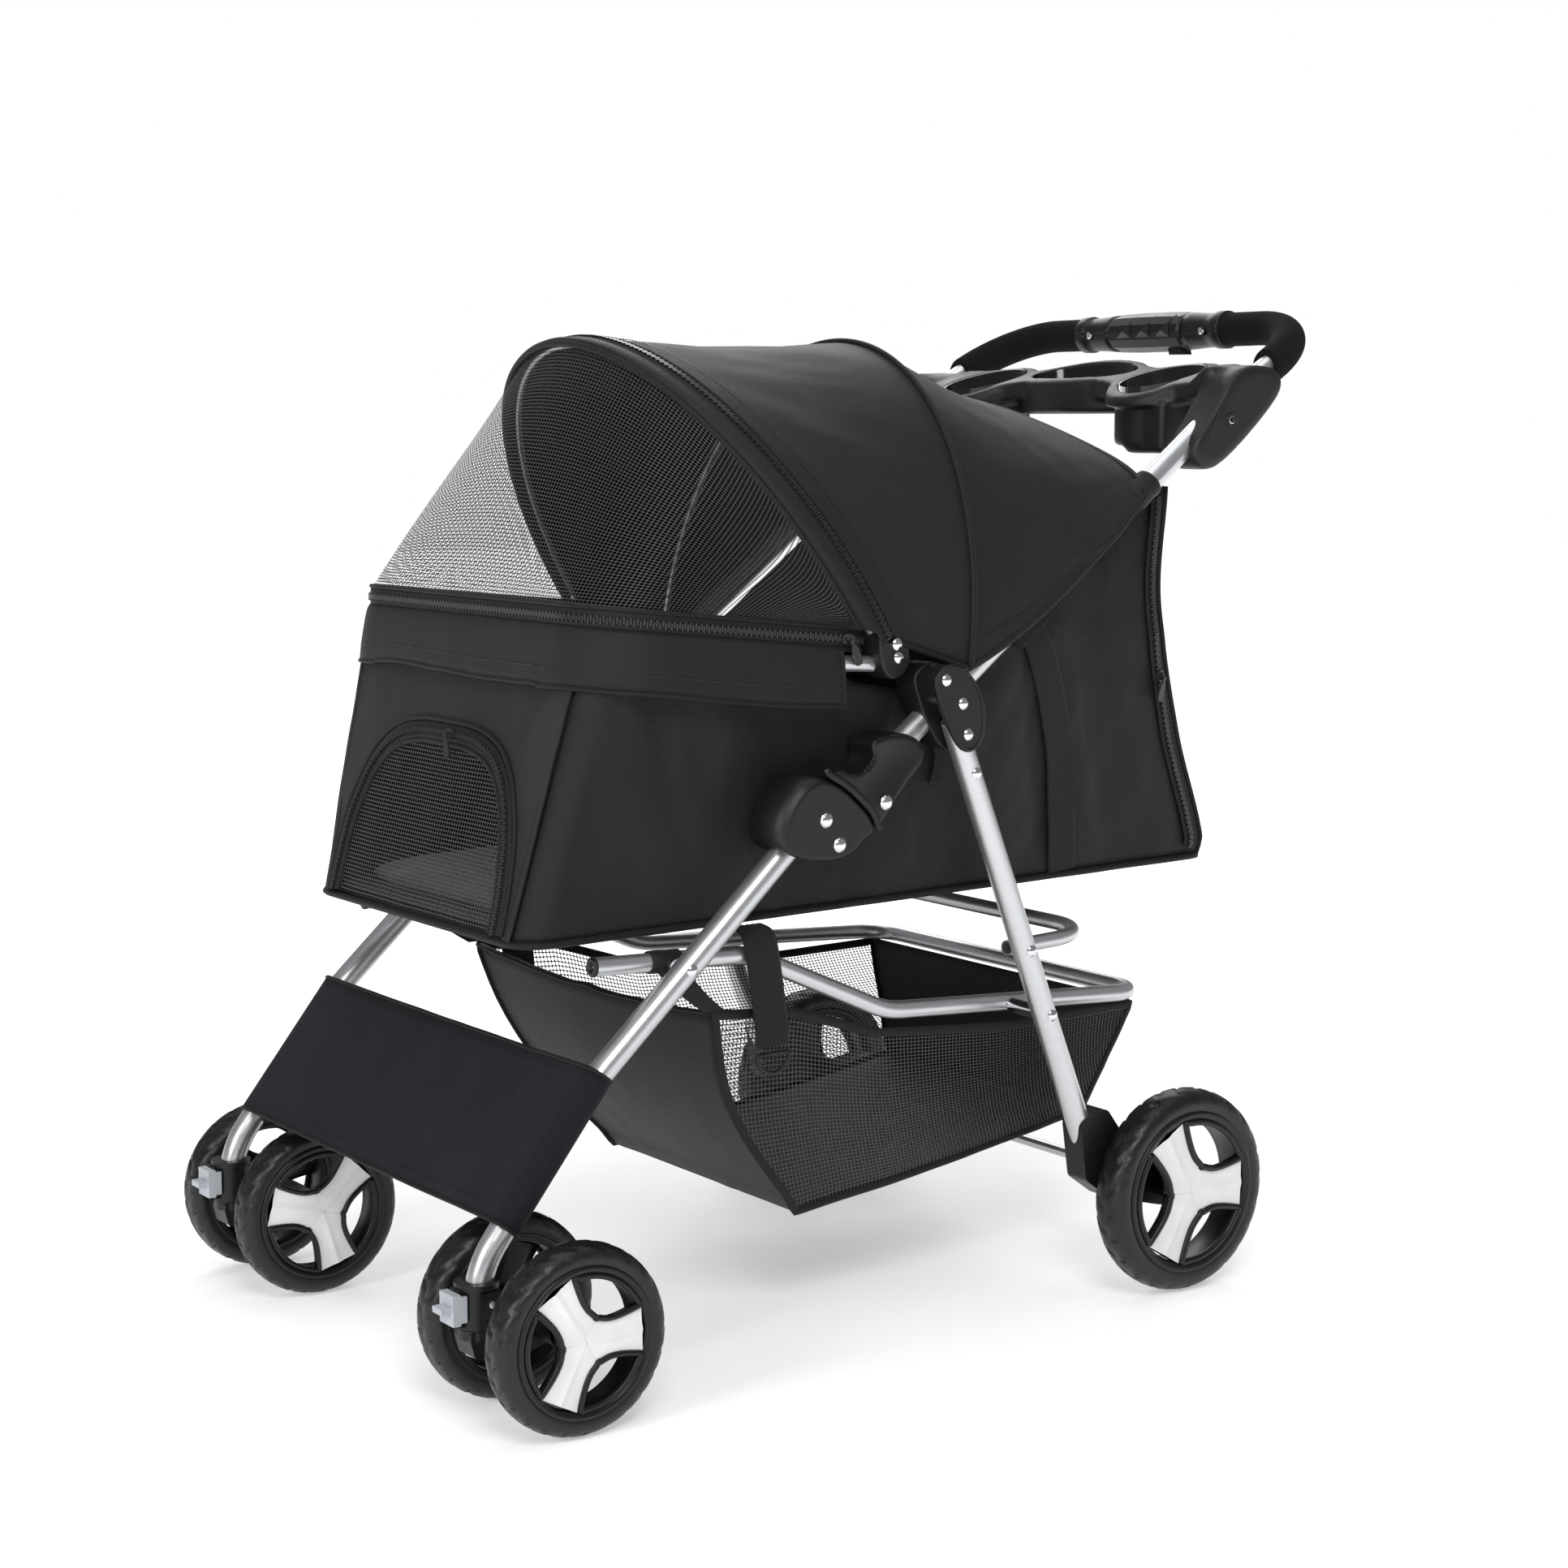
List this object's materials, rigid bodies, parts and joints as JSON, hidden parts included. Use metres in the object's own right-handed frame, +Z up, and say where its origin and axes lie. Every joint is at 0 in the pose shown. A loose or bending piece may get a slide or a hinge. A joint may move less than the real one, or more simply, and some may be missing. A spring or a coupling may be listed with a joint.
{
  "type": "pet stroller",
  "caption": "Folding pet stroller: tube frame, zipped fabric cabin and canopy, handle with cup tray, basket, twin front casters and fixed rear wheels.",
  "frame": {"origin": "on the floor, under the middle of the bounding box", "axes": "+Z up, +Y from the front casters towards the handle, +X to one side; the part is symmetric about X = 0"},
  "size_m": [0.604, 0.984, 0.9045],
  "materials": {
    "frame_metal": "satin silver paint",
    "black_plastic": "fine moulded grain",
    "tray_plastic": "matte rim, glossy wells",
    "white_plastic": "gloss",
    "grey_plastic": "satin",
    "tyre": "moulded tread",
    "foam_grip": "fine closed-cell foam",
    "fasteners": "polished rivet heads",
    "cabin_fabric": "coated plain-weave polyester",
    "webbing": "ribbed woven webbing",
    "cushion_fabric": "brushed fleece",
    "board": "rigid sheet"
  },
  "bodies": {
    "upper_frame": {"handle_tube": "frame_metal", "handle_foam": "foam_grip", "grip_cover_top": "black_plastic", "grip_cover_bottom": "black_plastic", "parent_tray": "tray_plastic", "side_brackets": "black_plastic", "rail_hinges": "black_plastic", "rim_rail": "frame_metal", "upper_fasteners": "fasteners", "mid_bow": "frame_metal", "cabin_shell": "cabin_fabric", "floor_board": "board", "cushion": "cushion_fabric", "canopy_rear": "cabin_fabric", "lock_knuckles": "black_plastic", "hanging_straps": "webbing"},
    "canopy_bow": {"front_bow": "frame_metal", "canopy_front": "cabin_fabric"},
    "front_legs": {"front_legs": "frame_metal", "lock_shells": "black_plastic", "leg_fasteners": "fasteners", "caster_sockets": "black_plastic", "leg_panel": "cabin_fabric"},
    "rear_legs": {"rear_legs": "frame_metal", "hub_brackets": "black_plastic", "rear_axle": "frame_metal", "hoop_bar": "frame_metal", "rear_fasteners": "fasteners"},
    "basket_frame": {"basket_tube": "frame_metal", "basket_fabric": "cabin_fabric"},
    "release_left": {"release_sleeve_left": "black_plastic"},
    "swivel_lock_left": {"swivel_lock_left": "grey_plastic"},
    "caster_left": {"caster_fork_left": "black_plastic", "front_axle_left": "fasteners"},
    "wheel_front_left_outer": {"tyre_front_left_outer": "tyre", "wheel_core_front_left_outer": "black_plastic", "spoke_cover_front_left_outer": "white_plastic"},
    "wheel_front_left_inner": {"tyre_front_left_inner": "tyre", "wheel_core_front_left_inner": "black_plastic", "spoke_cover_front_left_inner": "white_plastic"},
    "wheel_rear_left": {"tyre_rear_left": "tyre", "wheel_core_rear_left": "black_plastic", "spoke_cover_rear_left": "white_plastic"},
    "brake_left": {"brake_pedal_left": "black_plastic"},
    "ring_left": {"d_ring_left": "black_plastic"},
    "release_right": {"release_sleeve_right": "black_plastic"},
    "swivel_lock_right": {"swivel_lock_right": "grey_plastic"},
    "caster_right": {"caster_fork_right": "black_plastic", "front_axle_right": "fasteners"},
    "wheel_front_right_outer": {"tyre_front_right_outer": "tyre", "wheel_core_front_right_outer": "black_plastic", "spoke_cover_front_right_outer": "white_plastic"},
    "wheel_front_right_inner": {"tyre_front_right_inner": "tyre", "wheel_core_front_right_inner": "black_plastic", "spoke_cover_front_right_inner": "white_plastic"},
    "wheel_rear_right": {"tyre_rear_right": "tyre", "wheel_core_rear_right": "black_plastic", "spoke_cover_rear_right": "white_plastic"},
    "brake_right": {"brake_pedal_right": "black_plastic"},
    "ring_right": {"d_ring_right": "black_plastic"}
  },
  "joints": [
    {"name": "front_fold", "type": "hinge", "parent": "upper_frame", "child": "front_legs", "pos_m": [0, -0.1145, 0.442], "axis": [1, 0, 0], "range_deg": [0, 90], "deforming": ["leg_panel", "basket_fabric", "cabin_shell", "floor_board", "cushion", "hanging_straps"]},
    {"name": "rear_fold", "type": "hinge", "parent": "upper_frame", "child": "rear_legs", "pos_m": [0, 0.0095, 0.529], "axis": [1, 0, 0], "range_deg": [0, 64]},
    {"name": "basket_fold", "type": "hinge", "parent": "rear_legs", "child": "basket_frame", "pos_m": [0, 0.1135, 0.27], "axis": [1, 0, 0], "range_deg": [-18, 0]},
    {"name": "canopy_open", "type": "hinge", "parent": "upper_frame", "child": "canopy_bow", "pos_m": [0, -0.0525, 0.608], "axis": [-1, 0, 0], "range_deg": [0, 40], "deforming": ["canopy_front"]},
    {"name": "release_slide_left", "type": "slide", "parent": "upper_frame", "child": "release_left", "axis": [0, 0.7939, 0.6081], "range_m": [0, 0.012], "stiffness_N_per_m": 300, "springref_m": -0.006},
    {"name": "swivel_lock_slide_left", "type": "slide", "parent": "front_legs", "child": "swivel_lock_left", "axis": [0, 0, -1], "range_m": [0, 0.005]},
    {"name": "caster_swivel_left", "type": "hinge", "parent": "front_legs", "child": "caster_left", "pos_m": [-0.228, -0.4565, 0.08], "axis": [0, 0, 1], "continuous": true},
    {"name": "spin_front_left_outer", "type": "hinge", "parent": "caster_left", "child": "wheel_front_left_outer", "pos_m": [-0.283, -0.3985, 0.078], "axis": [1, 0, 0], "continuous": true},
    {"name": "spin_front_left_inner", "type": "hinge", "parent": "caster_left", "child": "wheel_front_left_inner", "pos_m": [-0.173, -0.3985, 0.078], "axis": [1, 0, 0], "continuous": true},
    {"name": "spin_rear_left", "type": "hinge", "parent": "rear_legs", "child": "wheel_rear_left", "pos_m": [-0.284, 0.2525, 0.094], "axis": [1, 0, 0], "continuous": true},
    {"name": "brake_press_left", "type": "hinge", "parent": "rear_legs", "child": "brake_left", "pos_m": [-0.221, 0.2335, 0.114], "axis": [-1, 0, 0], "range_deg": [0, 18]},
    {"name": "ring_swing_left", "type": "hinge", "parent": "upper_frame", "child": "ring_left", "pos_m": [-0.212, -0.1565, 0.262], "axis": [0, 1, 0], "range_deg": [-40, 40]},
    {"name": "release_slide_right", "type": "slide", "parent": "upper_frame", "child": "release_right", "axis": [0, 0.7939, 0.6081], "range_m": [0, 0.012], "stiffness_N_per_m": 300, "springref_m": -0.006},
    {"name": "swivel_lock_slide_right", "type": "slide", "parent": "front_legs", "child": "swivel_lock_right", "axis": [0, 0, -1], "range_m": [0, 0.005]},
    {"name": "caster_swivel_right", "type": "hinge", "parent": "front_legs", "child": "caster_right", "pos_m": [0.228, -0.4565, 0.08], "axis": [0, 0, 1], "continuous": true},
    {"name": "spin_front_right_outer", "type": "hinge", "parent": "caster_right", "child": "wheel_front_right_outer", "pos_m": [0.283, -0.3985, 0.078], "axis": [1, 0, 0], "continuous": true},
    {"name": "spin_front_right_inner", "type": "hinge", "parent": "caster_right", "child": "wheel_front_right_inner", "pos_m": [0.173, -0.3985, 0.078], "axis": [1, 0, 0], "continuous": true},
    {"name": "spin_rear_right", "type": "hinge", "parent": "rear_legs", "child": "wheel_rear_right", "pos_m": [0.284, 0.2525, 0.094], "axis": [1, 0, 0], "continuous": true},
    {"name": "brake_press_right", "type": "hinge", "parent": "rear_legs", "child": "brake_right", "pos_m": [0.221, 0.2335, 0.114], "axis": [-1, 0, 0], "range_deg": [0, 18]},
    {"name": "ring_swing_right", "type": "hinge", "parent": "upper_frame", "child": "ring_right", "pos_m": [0.212, -0.1565, 0.262], "axis": [0, 1, 0], "range_deg": [-40, 40]}
  ],
  "couplings": [
    {"joint": "rear_fold", "follows": "front_fold", "ratio": 0.7},
    {"joint": "basket_fold", "follows": "front_fold", "ratio": -0.19}
  ]
}
